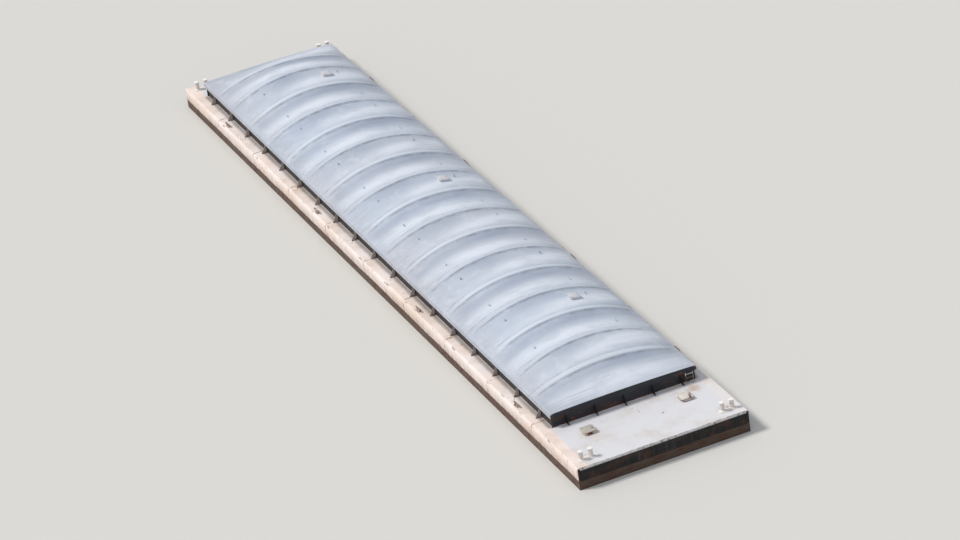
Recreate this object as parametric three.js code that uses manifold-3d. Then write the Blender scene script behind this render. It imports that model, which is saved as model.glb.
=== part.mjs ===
// Covered hopper barge with box ends, a 1:2 scale model of a 200 ft river barge.
// +Y is the bow, +X is starboard, +Z is up, in millimetres of the model.
// The origin is on the flat bottom, under the middle of the barge.

import * as THREE from "three";
import { mergeVertices } from "three/addons/utils/BufferGeometryUtils.js";
import Module from "manifold-3d";

const wasm = await Module();
wasm.setup();

// Driving dimensions, written as feet of the full-size barge
const modelScale = 0.5;
const foot = 304.8 * modelScale;
const inch = foot / 12;
const seam = 0.3; // gap between pieces that touch, in millimetres of the model

const hull = {
  length: 200 * foot,
  beam: 35 * foot,
  depth: 13 * foot,
  bilgeRadius: 1 * foot,
  gunwaleRadius: 0.25 * foot, // rounded edge between the deck and the sides
  endKnuckle: 1.5 * foot, // radius between the bottom and each square end
  floorHeight: 1.5 * foot, // top of the double bottom, which is the hopper's floor
  hopperHalfWidth: 14.5 * foot,
  plateProud: 1.2 * inch, // how far strakes and headlogs stand off the plating
};

const deck = { stern: 16 * foot, bow: 6.6 * foot }; // clear deck from each end to the covers

const coaming = {
  height: 2.75 * foot,
  plate: 0.7 * inch,
  rimWidth: 3.6 * inch,
  rimThickness: 1 * inch,
  stayPitch: 10 * foot, // along the sides
  endStayPitch: 6 * foot,
  stayReach: 1.35 * foot,
  stayHeight: 2.2 * foot,
  stayPlate: 0.6 * inch,
};

const cover = {
  halfWidth: 15 * foot,
  rise: 4 * foot,
  edgeHeight: 0.36 * foot, // top of the cover's edge above the coaming's rim
  shell: 0.2 * foot, // upright thickness of the arch
  skirtDrop: 0.6 * foot,
  skirt: 1.4 * inch,
  railWidth: 0.6 * foot, // flat band inside the skirt that sits on the rim
  gap: 6, // clear space between neighbouring covers, in millimetres of the model
  endLength: 16.4 * foot,
  endRise: 0.25 * foot, // crown height left at the hipped end
  endPlateHalfWidth: 11.2 * foot, // higher middle part of the plate that closes the hipped end
  endPlateStep: 0.08 * foot,
  recess: 0.5, // keeps the faces of joined pieces out of one plane, in millimetres of the model
  count: 9,
  flangeHeight: 0.28 * foot,
  flangeWidth: 0.45 * foot,
  ribHeight: 0.34 * foot,
  ribWidth: 0.9 * foot,
  bevel: 0.25 * foot,
  outerSteps: 20,
  innerSteps: 10,
};

const sternEnd = -hull.length / 2;
const bowEnd = hull.length / 2;
const coverStart = sternEnd + deck.stern;
const coverEnd = bowEnd - deck.bow;
const overhang = cover.halfWidth - hull.hopperHalfWidth;
const hopperStart = coverStart + overhang;
const hopperEnd = coverEnd - overhang;
const platingHalfBeam = hull.beam / 2 - hull.plateProud;
const rimTop = hull.depth + coaming.height;

// Finishes

const finishes = {
  hullPaint: { color: 0xcdb5a5, roughness: 0.75, metalness: 0.1 },
  steelDark: { color: 0x2b2a2c, roughness: 0.7, metalness: 0.3 },
  headlogPaint: { color: 0x1c1918, roughness: 0.8, metalness: 0.2 },
  deckPaint: { color: 0xc9c6c0, roughness: 0.8, metalness: 0.1 },
  coverShell: { color: 0xc6cdd8, roughness: 0.5, metalness: 0.0 },
  fitting: { color: 0x4a3a34, roughness: 0.65, metalness: 0.5 },
};

const barge = new THREE.Group();

function addMesh(name, geometry, finish, group = barge) {
  const mesh = new THREE.Mesh(geometry, new THREE.MeshStandardMaterial(finishes[finish]));
  mesh.name = name;
  group.add(mesh);
  return mesh;
}

// Solids: joining, cutting and turning back into a mesh

function toSolid(geometry) {
  const bare = geometry.clone();
  bare.deleteAttribute("normal");
  bare.deleteAttribute("uv");
  const merged = mergeVertices(bare, 1e-3);
  const index = merged.index.array;
  return new wasm.Manifold(new wasm.Mesh({
    numProp: 3,
    vertProperties: Float32Array.from(merged.attributes.position.array),
    triVerts: Uint32Array.from(index),
  }));
}

function toGeometry(solid) {
  const mesh = solid.getMesh();
  const geometry = new THREE.BufferGeometry();
  geometry.setAttribute("position", new THREE.BufferAttribute(mesh.vertProperties.slice(), 3));
  geometry.setIndex(new THREE.BufferAttribute(mesh.triVerts.slice(), 1));
  geometry.computeVertexNormals();
  return geometry;
}

function joined(geometries) {
  return toGeometry(geometries.map(toSolid).reduce((whole, next) => whole.add(next)));
}

// Prisms of a flat outline, each a list of [first, second] coordinates

function outlineShape(points) {
  return new THREE.Shape(points.map(([first, second]) => new THREE.Vector2(first, second)));
}

function prismAlongY(points, from, to) {
  const geometry = new THREE.ExtrudeGeometry(outlineShape(points), { depth: to - from, bevelEnabled: false });
  return geometry.rotateX(Math.PI / 2).translate(0, to, 0);
}

function prismAlongX(points, from, to) {
  const geometry = new THREE.ExtrudeGeometry(outlineShape(points), { depth: to - from, bevelEnabled: false });
  const turn = new THREE.Matrix4().makeBasis(
    new THREE.Vector3(0, 1, 0), new THREE.Vector3(0, 0, 1), new THREE.Vector3(1, 0, 0));
  return geometry.applyMatrix4(turn).translate(from, 0, 0);
}

function block(low, high) {
  const size = high.map((value, axis) => value - low[axis]);
  const centre = high.map((value, axis) => (value + low[axis]) / 2);
  return new THREE.BoxGeometry(...size).translate(...centre);
}

function arcPoints(centre, radius, fromDegrees, toDegrees, steps) {
  return Array.from({ length: steps + 1 }, (unused, step) => {
    const angle = THREE.MathUtils.degToRad(fromDegrees + (toDegrees - fromDegrees) * step / steps);
    return [centre[0] + radius * Math.cos(angle), centre[1] + radius * Math.sin(angle)];
  });
}

// Hull: two end tanks, two wing tanks and the double bottom around the open hopper

const bilgeSteps = 4;
const gunwaleSteps = 3;

// The starboard side of the hull's section, from the bilge up and over the gunwale
function sideOutline() {
  const half = platingHalfBeam;
  const radius = hull.bilgeRadius;
  const round = hull.gunwaleRadius;
  return [
    ...arcPoints([half - radius, radius], radius, 270, 360, bilgeSteps),
    ...arcPoints([half - round, hull.depth - round], round, 0, 90, gunwaleSteps),
  ];
}

function endTank(from, to, knuckleAtBow) {
  const half = platingHalfBeam;
  const across = [...sideOutline(), ...sideOutline().map(([x, z]) => [-x, z]).reverse()];
  const knuckle = hull.endKnuckle;
  const along = knuckleAtBow
    ? [[from, 0], ...arcPoints([to - knuckle, knuckle], knuckle, 270, 360, bilgeSteps),
      [to, hull.depth], [from, hull.depth]]
    : [[to, 0], [to, hull.depth], [from, hull.depth],
      ...arcPoints([from + knuckle, knuckle], knuckle, 180, 270, bilgeSteps)];
  const tube = toSolid(prismAlongY(across, from, to));
  const knuckled = toSolid(prismAlongX(along, -half, half));
  return toGeometry(tube.intersect(knuckled));
}

function wingTank(side) {
  const inner = hull.hopperHalfWidth;
  const outline = [[inner, 0], ...sideOutline(), [inner, hull.depth]];
  const placed = side > 0 ? outline : outline.map(([x, z]) => [-x, z]).reverse();
  return prismAlongY(placed, hopperStart + seam, hopperEnd - seam);
}

const sternFace = sternEnd + hull.plateProud;
const bowFace = bowEnd - hull.plateProud;
addMesh("end_tank_stern", endTank(sternFace, hopperStart, false), "hullPaint");
addMesh("end_tank_bow", endTank(hopperEnd, bowFace, true), "hullPaint");
addMesh("wing_tank_port", wingTank(-1), "hullPaint");
addMesh("wing_tank_starboard", wingTank(1), "hullPaint");
addMesh("double_bottom", block(
  [seam - hull.hopperHalfWidth, hopperStart + seam, 0],
  [hull.hopperHalfWidth - seam, hopperEnd - seam, hull.floorHeight]), "steelDark");

// Rubbing bands on the sides and headlog plates across the ends

const strake = { top: hull.depth - 0.5 * foot, depth: 1.3 * foot, endInset: 0.4 * foot };
for (const [name, side] of [["sheer_strake_port", -1], ["sheer_strake_starboard", 1]]) {
  const faces = [side * (platingHalfBeam + seam), side * hull.beam / 2];
  addMesh(name, block(
    [Math.min(...faces), sternEnd + strake.endInset, strake.top - strake.depth],
    [Math.max(...faces), bowEnd - strake.endInset, strake.top]), "hullPaint");
}

const headlog = { halfWidth: platingHalfBeam - 0.5 * foot, depth: 2.6 * foot, topInset: 0.1 * foot };
const headlogRows = [
  // name, outer face, inner face
  ["headlog_stern", sternEnd, sternFace - seam],
  ["headlog_bow", bowEnd, bowFace + seam],
];
for (const [name, outerFace, innerFace] of headlogRows) {
  const top = hull.depth - headlog.topInset;
  addMesh(name, block(
    [-headlog.halfWidth, Math.min(outerFace, innerFace), top - headlog.depth],
    [headlog.halfWidth, Math.max(outerFace, innerFace), top]), "headlogPaint");
}

// Coamings: a plate with an outward rim on top and upright stays down to the deck

const coamingFoot = hull.depth + seam;
const stayFoot = coamingFoot + 0.7; // the stays stop just above the plate's foot

function coamingOutline(inner) {
  const underRim = rimTop - coaming.rimThickness;
  return [
    [inner, coamingFoot],
    [inner + coaming.plate, coamingFoot],
    [inner + coaming.plate, underRim],
    [inner + coaming.rimWidth, underRim],
    [inner + coaming.rimWidth, rimTop],
    [inner, rimTop],
  ];
}

// A stay is a plate whose foot reaches out over the deck and whose head is under the rim
function stayOutline(inner) {
  const root = inner + coaming.plate / 2;
  return [
    [root, stayFoot],
    [inner + coaming.stayReach, stayFoot],
    [inner + coaming.stayReach, stayFoot + 2 * inch],
    [inner + coaming.plate + 2 * inch, coamingFoot + coaming.stayHeight],
    [root, coamingFoot + coaming.stayHeight],
  ];
}

function stayPlaces(from, to, pitch) {
  const bays = Math.round((to - from) / pitch);
  return Array.from({ length: bays }, (unused, bay) => from + (bay + 0.5) * (to - from) / bays);
}

function longCoaming(side) {
  const mirror = ([x, z]) => [side * x, z];
  const order = (points) => (side > 0 ? points.map(mirror) : points.map(mirror).reverse());
  const pieces = [prismAlongY(order(coamingOutline(hull.hopperHalfWidth)), hopperStart, hopperEnd)];
  for (const place of stayPlaces(hopperStart, hopperEnd, coaming.stayPitch)) {
    pieces.push(prismAlongY(order(stayOutline(hull.hopperHalfWidth)),
      place - coaming.stayPlate / 2, place + coaming.stayPlate / 2));
  }
  return joined(pieces);
}

// The end coamings run past the corners, out to the side coamings' rims. Each is made
// with the hopper's end at y = 0 and then placed.
function endCoaming(direction) {
  const reach = hull.hopperHalfWidth + coaming.rimWidth;
  const alongHull = (points) => {
    const placed = points.map(([out, z]) => [direction * (out + seam), z]);
    return direction > 0 ? placed : placed.reverse();
  };
  const pieces = [prismAlongX(alongHull(coamingOutline(0)), -reach, reach)];
  for (const place of stayPlaces(-reach, reach, coaming.endStayPitch)) {
    pieces.push(prismAlongX(alongHull(stayOutline(0)),
      place - coaming.stayPlate / 2, place + coaming.stayPlate / 2));
  }
  return joined(pieces);
}

addMesh("coaming_port", longCoaming(-1), "steelDark");
addMesh("coaming_starboard", longCoaming(1), "steelDark");
addMesh("coaming_stern", endCoaming(-1), "steelDark").position.y = hopperStart;
addMesh("coaming_bow", endCoaming(1), "steelDark").position.y = hopperEnd;

// Covers: arched shells that rest on the rims, with a skirt outside them.
// Each section is one closed outline across the barge; stations along the barge carry its
// crown height and how far a rib or flange stands up there.

const arcRadius = (cover.halfWidth ** 2 + cover.rise ** 2) / (2 * cover.rise);

// Height of the arch at x as a share of its rise: 1 at the crown, 0 at the edges
function crownShare(x) {
  return (Math.sqrt(arcRadius ** 2 - x ** 2) - (arcRadius - cover.rise)) / cover.rise;
}

// Even steps of angle across the arch, from port to starboard
function arcPlaces(halfWidth, steps) {
  const reach = Math.asin(halfWidth / arcRadius);
  return Array.from({ length: steps + 1 }, (unused, step) =>
    arcRadius * Math.sin(reach * (2 * step / steps - 1)));
}

function coverSection(rise, proud) {
  const half = cover.halfWidth;
  const innerHalf = half - cover.skirt;
  const railHalf = innerHalf - cover.railWidth;
  const edge = rimTop + cover.edgeHeight;
  const seat = rimTop + seam;
  const outer = arcPlaces(half, cover.outerSteps).map((x) => {
    const fade = 1 - (Math.abs(x) / half) ** 4;
    return [x, edge + rise * crownShare(x) + proud * fade];
  });
  const inner = arcPlaces(railHalf, cover.innerSteps).map((x) => {
    const under = edge + rise * crownShare(x) - cover.shell;
    return [x, Math.max(under, seat + 0.1 * foot)];
  });
  const skirtFoot = rimTop - cover.skirtDrop;
  return [
    [half, skirtFoot], ...outer.reverse(), [-half, skirtFoot],
    [-innerHalf, skirtFoot], [-innerHalf, seat], [-railHalf, seat],
    ...inner, [railHalf, seat], [innerHalf, seat], [innerHalf, skirtFoot],
  ];
}

// Closed skin through equal-sized sections, with flat caps at the first and the last
function loft(sections) {
  const count = sections[0].outline.length;
  const positions = sections.flatMap(({ y, outline }) => outline.flatMap(([x, z]) => [x, y, z]));
  const index = [];
  for (let row = 0; row < sections.length - 1; row += 1) {
    for (let column = 0; column < count; column += 1) {
      const next = (column + 1) % count;
      const [a, b] = [row * count + column, row * count + next];
      const [c, d] = [a + count, b + count];
      index.push(a, b, c, b, d, c);
    }
  }
  const flat = (outline) => outline.map(([x, z]) => new THREE.Vector2(x, z));
  const last = (sections.length - 1) * count;
  for (const [a, b, c] of THREE.ShapeUtils.triangulateShape(flat(sections[0].outline), [])) {
    index.push(a, c, b);
  }
  for (const [a, b, c] of THREE.ShapeUtils.triangulateShape(flat(sections.at(-1).outline), [])) {
    index.push(last + a, last + b, last + c);
  }
  const geometry = new THREE.BufferGeometry();
  geometry.setAttribute("position", new THREE.Float32BufferAttribute(positions, 3));
  geometry.setIndex(index);
  return outwardFacing(geometry);
}

// Turns every triangle over if the skin encloses a negative volume
function outwardFacing(geometry) {
  const position = geometry.attributes.position;
  const index = geometry.index.array;
  const corner = (place) => new THREE.Vector3().fromBufferAttribute(position, index[place]);
  let volume = 0;
  for (let place = 0; place < index.length; place += 3) {
    volume += corner(place).dot(corner(place + 1).cross(corner(place + 2)));
  }
  if (volume < 0) {
    for (let place = 0; place < index.length; place += 3) {
      [index[place + 1], index[place + 2]] = [index[place + 2], index[place + 1]];
    }
  }
  geometry.computeVertexNormals();
  return geometry;
}

// Height of a full cover's plain outer face at x
function archTop(x) {
  return rimTop + cover.edgeHeight + cover.rise * crownShare(x);
}

// Places along a cover, as distance from its start and how proud the shell stands there
function coverStations(length, flangeAtStart, flangeAtEnd) {
  const { bevel, flangeWidth, flangeHeight, ribWidth, ribHeight } = cover;
  const middle = length / 2;
  const rib = [
    [middle - ribWidth / 2 - bevel, 0], [middle - ribWidth / 2, ribHeight],
    [middle + ribWidth / 2, ribHeight], [middle + ribWidth / 2 + bevel, 0],
  ];
  const startFlange = [[0, flangeHeight], [flangeWidth, flangeHeight], [flangeWidth + bevel, 0]];
  const endFlange = startFlange.map(([place, proud]) => [length - place, proud]).reverse();
  return [
    ...(flangeAtStart ? startFlange : [[0, 0]]), ...rib, ...(flangeAtEnd ? endFlange : [[length, 0]]),
  ];
}

const coverSpan = coverEnd - coverStart;
const middleLength = (coverSpan - 2 * cover.endLength) / (cover.count - 2);

function coverSkin(stations, placeToY, riseAt) {
  return loft(stations.map(([place, proud]) => (
    { y: placeToY(place), outline: coverSection(riseAt(place), proud) })));
}

// Lifting lugs: upright plates that a crane's hooks take, two on each side of the crown
const lug = { fromCentre: 8.5 * foot, fromEnd: 3.6 * foot, length: 5 * inch, plate: 1.2 * inch, height: 5 * inch };

function lugsAt(fromY, toY) {
  const sunk = cover.shell / 2;
  return [fromY + lug.fromEnd, toY - lug.fromEnd].flatMap((y) => [-1, 1].map((side) => {
    const x = side * lug.fromCentre;
    return block(
      [x - lug.plate / 2, y - lug.length / 2, archTop(x) - sunk],
      [x + lug.plate / 2, y + lug.length / 2, archTop(x) + lug.height]);
  }));
}

// Inspection hatch of a cover: a ring through the arch, tilted with it, and a hinged lid
const coverHatch = {
  covers: [2, 5, 8],
  fromCentre: 5.6 * foot,
  fromBowEnd: 4.6 * foot,
  halfSize: 1 * foot,
  wall: 1 * inch,
  height: 4 * inch,
  sunk: 4 * inch,
  lidOverlap: 1.2 * inch,
  lidThickness: 1.2 * inch,
  barrelRadius: 1 * inch,
  barrelLength: 0.45 * foot,
};
coverHatch.hingeX = coverHatch.halfSize + coverHatch.barrelRadius + 0.6 * inch;
const hatchTilt = Math.asin(coverHatch.fromCentre / arcRadius);

// Moves a shape made around the origin onto the arch, at the hatch's place on its cover
function onArch(geometry, y) {
  const x = coverHatch.fromCentre;
  return geometry.rotateY(hatchTilt).translate(x, y, archTop(x));
}

function squareRing({ halfSize, wall }, bottom, top) {
  const inner = halfSize - wall;
  const tall = block([-halfSize, -halfSize, bottom], [halfSize, halfSize, top]);
  const well = block([-inner, -inner, bottom - foot], [inner, inner, top + foot]);
  return { tall, well };
}

function middleCover(start, hasHatch) {
  const length = middleLength - cover.gap;
  const from = start + cover.gap / 2;
  const stations = coverStations(length, true, true);
  const skin = coverSkin(stations, (place) => from + place, () => cover.rise);
  const pieces = [skin, ...lugsAt(from, from + length)];
  if (!hasHatch) {
    return joined(pieces);
  }
  const { tall, well } = squareRing(coverHatch, -coverHatch.sunk, coverHatch.height);
  const y = from + length - coverHatch.fromBowEnd;
  const whole = [...pieces, onArch(tall, y)].map(toSolid).reduce((sum, next) => sum.add(next));
  return toGeometry(whole.subtract(toSolid(onArch(well, y))));
}

// A lid has two hinge barrels; its far side and both ends overlap the ring
function lidGeometry({ halfSize, lidOverlap, lidThickness, barrelRadius, barrelLength }, hingeX) {
  const reach = halfSize + lidOverlap;
  const plate = block([-reach, -reach, 0], [hingeX, reach, lidThickness]);
  const barrels = [-1, 1].map((end) => new THREE.CylinderGeometry(
    barrelRadius, barrelRadius, barrelLength, 12)
    .translate(hingeX, end * halfSize * 0.6, lidThickness / 2));
  return joined([plate, ...barrels]);
}

// An end cover falls from the full arch to a low straight edge, as a quarter of a sine wave
function endCover(outerEnd, direction) {
  const length = cover.endLength - cover.gap / 2;
  const hip = (place) => Math.sin((place / length) * Math.PI / 2);
  const riseAt = (place) => cover.endRise + (cover.rise - cover.endRise) * hip(place);
  const extraPlaces = [0.1, 0.22, 0.34, 0.62, 0.75].map((share) => [share * length, 0]);
  const stations = [...coverStations(length, false, true), ...extraPlaces].sort((a, b) => a[0] - b[0]);
  const skin = coverSkin(stations, (place) => outerEnd - direction * place, riseAt);
  const faces = [outerEnd - direction * cover.recess, outerEnd - direction * cover.skirt];
  const [wide, narrow] = [cover.halfWidth - cover.skirt / 2, cover.endPlateHalfWidth];
  const bottom = rimTop - cover.skirtDrop + cover.recess;
  const low = rimTop + cover.edgeHeight - cover.endPlateStep;
  const high = low + 2 * cover.endPlateStep;
  const endPlate = prismAlongY([
    [-wide, bottom], [wide, bottom], [wide, low], [narrow, low],
    [narrow, high], [-narrow, high], [-narrow, low], [-wide, low],
  ], Math.min(...faces), Math.max(...faces));
  return joined([skin, endPlate]);
}

for (let number = 1; number <= cover.count; number += 1) {
  const name = `cover_${number}`;
  if (number === 1) {
    addMesh(name, endCover(coverStart, -1), "coverShell");
  } else if (number === cover.count) {
    addMesh(name, endCover(coverEnd, 1), "coverShell");
  } else {
    const start = coverStart + cover.endLength + (number - 2) * middleLength;
    const hasHatch = coverHatch.covers.includes(number);
    addMesh(name, middleCover(start, hasHatch), "coverShell");
    if (hasHatch) {
      // half a turn puts the hinge on the crown's side
      const lid = lidGeometry(coverHatch, coverHatch.hingeX).rotateZ(Math.PI)
        .translate(0, 0, coverHatch.height + seam);
      addMesh(`cover_hatch_lid_${number}`,
        onArch(lid, start + middleLength - cover.gap / 2 - coverHatch.fromBowEnd), "coverShell");
    }
  }
}

// Timberheads: two posts with caps on one base plate, near the four corners

const timberhead = {
  inset: 3.1 * foot,
  endInset: 2.6 * foot,
  postRadius: 5 * inch,
  capRadius: 6.5 * inch,
  capThickness: 1 * inch,
  height: 1.9 * foot,
  postSpacing: 2 * foot,
  base: [3.6 * foot, 1.5 * foot, 1 * inch],
  sides: 14,
};

function timberheadGeometry() {
  const { postRadius, capRadius, capThickness, height, base, sides } = timberhead;
  const profile = [
    [0, base[2] / 2], [postRadius, base[2] / 2], [postRadius, height - capThickness],
    [capRadius, height - capThickness], [capRadius, height], [0, height],
  ].map(([radius, z]) => new THREE.Vector2(radius, z));
  const posts = [-1, 1].map((end) => new THREE.LatheGeometry(profile, sides)
    .rotateX(Math.PI / 2).translate(end * timberhead.postSpacing / 2, 0, 0));
  const plate = block([-base[0] / 2, -base[1] / 2, 0], [base[0] / 2, base[1] / 2, base[2]]);
  return joined([plate, ...posts]);
}

const timberheadShape = timberheadGeometry();
const corners = [
  // name, side of the barge, y
  ["timberhead_stern_port", -1, sternEnd + timberhead.endInset],
  ["timberhead_stern_starboard", 1, sternEnd + timberhead.endInset],
  ["timberhead_bow_port", -1, bowEnd - timberhead.endInset],
  ["timberhead_bow_starboard", 1, bowEnd - timberhead.endInset],
];
for (const [name, side, y] of corners) {
  const mesh = addMesh(name, timberheadShape.clone(), "fitting");
  mesh.position.set(side * (hull.beam / 2 - timberhead.inset), y, hull.depth + seam);
}

// Kevels: a long horn on two legs, along both side decks

const kevel = {
  inset: 0.75 * foot, // from the side of the hull to the middle of the horn
  hornLength: 2.4 * foot,
  hornRadius: 2.2 * inch,
  height: 9 * inch,
  legSpread: 0.75 * foot,
  legWidth: 3.4 * inch,
  base: [6 * inch, 1.5 * foot, 0.8 * inch],
  sides: 10,
  places: [-72, -26, 26, 76], // feet along the barge from its middle
};

function kevelGeometry() {
  const { hornLength, hornRadius, height, legSpread, legWidth, base, sides } = kevel;
  const tip = hornRadius * 0.6;
  const profile = [
    [0, -hornLength / 2], [tip, -hornLength / 2], [hornRadius, -legSpread / 2],
    [hornRadius, legSpread / 2], [tip, hornLength / 2], [0, hornLength / 2],
  ].map(([radius, y]) => new THREE.Vector2(radius, y));
  const horn = new THREE.LatheGeometry(profile, sides).translate(0, 0, height - hornRadius);
  const legs = [-1, 1].map((end) => block(
    [-legWidth / 2, (end * legSpread - legWidth) / 2, base[2] / 2],
    [legWidth / 2, (end * legSpread + legWidth) / 2, height - hornRadius]));
  const plate = block([-base[0] / 2, -base[1] / 2, 0], [base[0] / 2, base[1] / 2, base[2]]);
  return joined([plate, horn, ...legs]);
}

const kevelShape = kevelGeometry();
for (const [sideName, side] of [["port", -1], ["starboard", 1]]) {
  kevel.places.forEach((place, number) => {
    const mesh = addMesh(`kevel_${sideName}_${number + 1}`, kevelShape.clone(), "fitting");
    mesh.position.set(side * (hull.beam / 2 - kevel.inset), place * foot, hull.depth + seam);
  });
}

// Deck hatches: a square raised ring on each end deck, with a lid hinged on its inboard side

const hatch = {
  halfSize: 1.1 * foot,
  wall: 1 * inch,
  height: 7 * inch,
  fromCentre: 10 * foot,
  lidOverlap: 1.5 * inch,
  lidThickness: 1.4 * inch,
  barrelRadius: 1.3 * inch,
  barrelLength: 0.5 * foot,
  sternY: sternEnd + 11 * foot,
  bowY: bowEnd - 3.2 * foot,
};
hatch.lidUnder = hull.depth + seam + hatch.height + seam;
hatch.hingeX = hatch.halfSize + hatch.barrelRadius + 0.6 * inch; // from the hatch's middle, inboard

function hatchRing() {
  const { tall, well } = squareRing(hatch, 0, hatch.height);
  return toGeometry(toSolid(tall).subtract(toSolid(well)));
}

const ringShape = hatchRing();
const lidShape = lidGeometry(hatch, hatch.hingeX);
const hatchRows = [
  // name, side of the barge, y
  ["stern_port", -1, hatch.sternY],
  ["stern_starboard", 1, hatch.sternY],
  ["bow_port", -1, hatch.bowY],
  ["bow_starboard", 1, hatch.bowY],
];
for (const [name, side, y] of hatchRows) {
  const place = [side * hatch.fromCentre, y];
  const turn = side > 0 ? Math.PI : 0; // the hinge faces the middle of the deck
  const ring = addMesh(`hatch_ring_${name}`, ringShape.clone(), "fitting");
  ring.position.set(...place, hull.depth + seam);
  const lid = addMesh(`hatch_lid_${name}`, lidShape.clone(), "deckPaint");
  lid.position.set(...place, hatch.lidUnder);
  lid.rotation.z = turn;
}

// Step ladders from the end decks up the end coamings, with two brackets to the coaming

const ladder = {
  fromCentre: 13.3 * foot, // outboard of the coaming's last stay
  width: 1.5 * foot,
  rail: 1 * inch,
  railDepth: 2.2 * inch,
  standOff: 0.55 * foot, // from the coaming's rim to the ladder
  height: 2.3 * foot,
  rungs: 3,
  rungRadius: 0.55 * inch,
  bracketHeight: 1.5 * foot, // above the deck, below the covers' skirt
  bracketDepth: 1.5 * inch,
};

function ladderGeometry() {
  const { width, rail, railDepth, height, rungs, rungRadius, bracketHeight, bracketDepth } = ladder;
  const rails = [-1, 1].map((end) => block(
    [(end * width - rail) / 2, -railDepth / 2, 0], [(end * width + rail) / 2, railDepth / 2, height]));
  const toCoaming = ladder.standOff + coaming.rimWidth - coaming.plate - 2 * seam;
  const brackets = [-1, 1].map((end) => block(
    [(end * width - rail / 2) / 2, 0, bracketHeight],
    [(end * width + rail / 2) / 2, toCoaming, bracketHeight + bracketDepth]));
  const bars = Array.from({ length: rungs }, (unused, rung) => new THREE.CylinderGeometry(
    rungRadius, rungRadius, width, 8).rotateZ(Math.PI / 2)
    .translate(0, 0, height * (rung + 0.6) / rungs));
  return joined([...rails, ...brackets, ...bars]);
}

const ladderShape = ladderGeometry();
const ladderRows = [
  // name, x, y, turn about the upright
  ["ladder_stern", ladder.fromCentre, hopperStart - coaming.rimWidth - ladder.standOff, 0],
  ["ladder_bow", -ladder.fromCentre, hopperEnd + coaming.rimWidth + ladder.standOff, Math.PI],
];
for (const [name, x, y, turn] of ladderRows) {
  const mesh = addMesh(name, ladderShape.clone(), "fitting");
  mesh.position.set(x, y, hull.depth + seam);
  mesh.rotation.z = turn;
}

export default barge;
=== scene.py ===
import math

import bpy
import numpy as np
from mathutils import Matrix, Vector


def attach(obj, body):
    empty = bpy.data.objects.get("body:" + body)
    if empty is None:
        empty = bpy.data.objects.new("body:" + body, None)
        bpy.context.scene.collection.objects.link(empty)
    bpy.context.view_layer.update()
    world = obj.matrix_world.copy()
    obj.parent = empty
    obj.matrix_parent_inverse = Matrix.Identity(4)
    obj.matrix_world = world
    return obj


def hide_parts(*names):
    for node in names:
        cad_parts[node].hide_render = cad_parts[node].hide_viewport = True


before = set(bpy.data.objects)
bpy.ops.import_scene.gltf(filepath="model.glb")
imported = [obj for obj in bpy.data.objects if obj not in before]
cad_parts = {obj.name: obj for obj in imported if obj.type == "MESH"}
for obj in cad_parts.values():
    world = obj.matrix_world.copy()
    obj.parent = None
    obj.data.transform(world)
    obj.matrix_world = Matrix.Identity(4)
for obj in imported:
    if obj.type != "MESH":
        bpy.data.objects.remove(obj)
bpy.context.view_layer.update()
foot = 0.3048 / 2  # metres of the 1:2 model for one foot of the full-size barge
print("frame loaded, covered hopper barge at half size")

# Sizes and places are in feet of the full-size barge unless a note says metres: x to starboard,
# y ahead of the barge's middle and z above its flat bottom

barge = {
    "halfLength": 100.0, "halfWidth": 17.5, "deck": 13.0, "waterline": 8.5,
    "hopper": (-84.0, 93.4),    # both ends of the row of covers
    "hatchX": 10.0, "hatchY": (-89.0, 96.8),  # middles of the deck hatches
    "standOff": 0.0003 / foot,  # keeps two faces that touch out of one plane
}
sides = {"port": -1, "starboard": 1}

# Camera: the photo's own standpoint, turned by the shortest way onto the barge, with a longer lens

view = {
    "place": (-42.13, -116.97, 65.41),  # metres
    "heading": 37.49,  # where the photo looks, in degrees from the bow towards starboard
    "dip": 32.19,      # and below the horizon
    "aim": (0.25, -2.1, 1.6),  # metres
    "lens": 172,
}


# Puts a mesh, a lamp or the camera into the scene
def placed(name, data):
    thing = bpy.data.objects.new(name, data)
    bpy.context.scene.collection.objects.link(thing)
    return thing


def setCamera():
    heading, dip = math.radians(view["heading"]), math.radians(view["dip"])
    looking = Vector((math.sin(heading) * math.cos(dip), math.cos(heading) * math.cos(dip), -math.sin(dip)))
    place = Vector(view["place"])
    aim = Vector(view["aim"]) - place
    camera = placed("camera", bpy.data.cameras.new("camera"))
    camera.rotation_mode = "QUATERNION"
    camera.location = place
    camera.rotation_quaternion = looking.rotation_difference(aim) @ looking.to_track_quat("-Z", "Y")
    camera.data.lens = view["lens"]
    camera.data.clip_end = 3000
    bpy.context.scene.camera = camera


setCamera()
print("camera set")


# A colour given as 0 to 255 numbers, as light
def paint(red, green, blue):
    share = np.array([red, green, blue]) / 255
    return (*np.where(share > 0.04045, ((share + 0.055) / 1.055) ** 2.4, share / 12.92).tolist(), 1.0)


# A method of Wire that joins it with a wire or number by one Math operation
def joining(operation):
    return lambda wire, other: wire.maths(operation, wire, other)


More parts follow.
